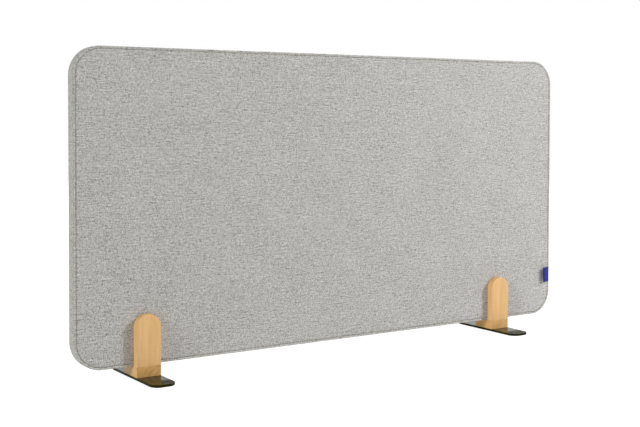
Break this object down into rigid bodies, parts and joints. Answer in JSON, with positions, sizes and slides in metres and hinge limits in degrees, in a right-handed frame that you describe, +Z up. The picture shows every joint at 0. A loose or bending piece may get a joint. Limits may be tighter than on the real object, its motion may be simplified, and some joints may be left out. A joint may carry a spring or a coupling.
{
  "type": "acoustic desk screen",
  "caption": "Fabric covered acoustic divider screen with round corners, held upright in slotted wooden feet on steel plates.",
  "frame": {"origin": "middle of the whole screen's footprint, on the desk top that its rubber pads stand on", "axes": "+X along the panel to its right-hand end with the label, +Y from the front face to the back, +Z up"},
  "size_m": [1.2, 0.2, 0.625],
  "materials": {
    "cover_cloth": "light grey melange wool-look weave",
    "seam_thread": "grey sewing thread",
    "label_cloth": "deep blue satin weave, blank",
    "absorber_felt": "pressed polyester felt",
    "fibre_board": "pressed fibre board",
    "beech": "clear satin lacquer",
    "dowel_wood": "bare ribbed wood",
    "black_steel": "black lacquer, glossy",
    "screw_steel": "zinc plated",
    "pad_rubber": "matte black"
  },
  "bodies": {
    "left_foot": {"left_block": "beech", "left_front_upright": "beech", "left_rear_upright": "beech", "left_dowels": "dowel_wood", "left_plate": "black_steel", "left_screws": "screw_steel", "left_pads": "pad_rubber"},
    "panel": {"core_board": "fibre_board", "front_felt": "absorber_felt", "rear_felt": "absorber_felt", "front_cover": "cover_cloth", "rear_cover": "cover_cloth", "edge_band": "cover_cloth", "front_topstitch": "seam_thread", "rear_topstitch": "seam_thread", "edge_label": "label_cloth"},
    "right_foot": {"right_block": "beech", "right_front_upright": "beech", "right_rear_upright": "beech", "right_dowels": "dowel_wood", "right_plate": "black_steel", "right_screws": "screw_steel", "right_pads": "pad_rubber"}
  },
  "joints": [
    {"name": "panel_lift", "type": "slide", "parent": "left_foot", "child": "panel", "axis": [0, 0, 1], "range_m": [0, 0.11]},
    {"name": "right_foot_slide", "type": "slide", "parent": "left_foot", "child": "right_foot", "axis": [1, 0, 0], "range_m": [-0.35, 0.085]}
  ]
}
